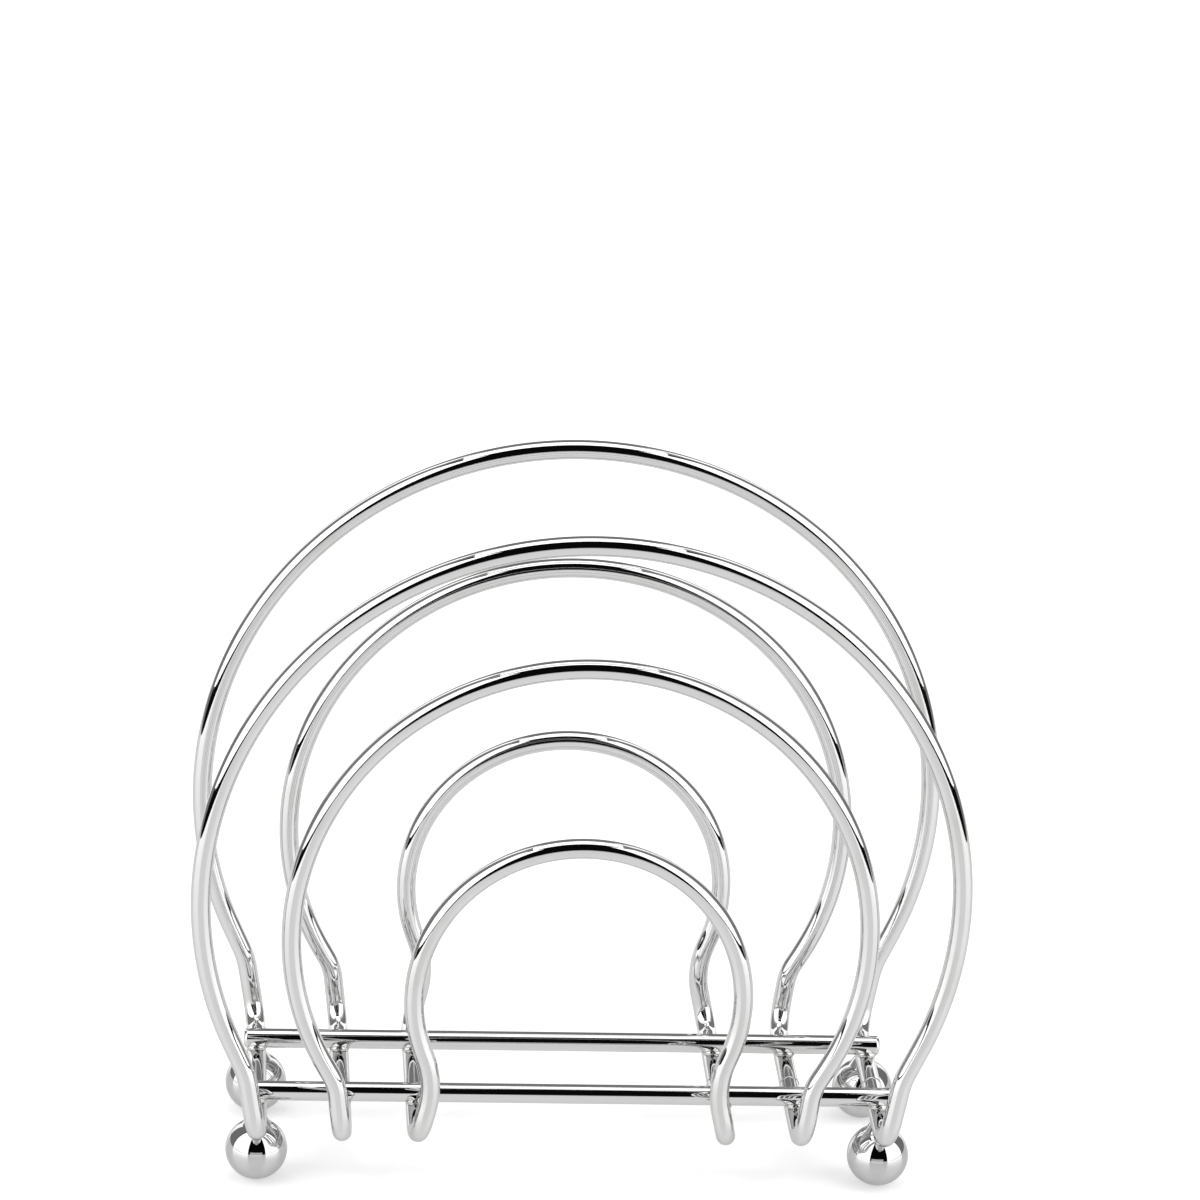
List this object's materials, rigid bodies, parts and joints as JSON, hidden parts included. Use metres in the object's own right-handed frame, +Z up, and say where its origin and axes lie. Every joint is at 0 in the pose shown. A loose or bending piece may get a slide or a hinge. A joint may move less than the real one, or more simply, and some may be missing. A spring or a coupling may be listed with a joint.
{
  "type": "napkin holder",
  "caption": "Chrome wire napkin holder: nested omega-shaped hoops, each one closed wire with a front and a rear arch, joined by cross wires and standing on ball feet.",
  "frame": {"origin": "on the table, under the middle of the holder, with the ball feet touching the table at height zero", "axes": "+X along the width of the arches, to the right seen from the front; +Y along the depth, from the front arches to the rear arches; +Z up"},
  "size_m": [0.117, 0.046, 0.1087],
  "materials": {
    "plated_wire": "bright chrome plate on drawn steel wire",
    "plated_ball": "bright chrome plate on steel ball"
  },
  "bodies": {
    "root": {"outer_hoop": "plated_wire", "middle_hoop": "plated_wire", "inner_hoop": "plated_wire", "front_cross_wire": "plated_wire", "rear_cross_wire": "plated_wire", "front_left_foot": "plated_ball", "front_right_foot": "plated_ball", "rear_left_foot": "plated_ball", "rear_right_foot": "plated_ball"}
  },
  "joints": []
}
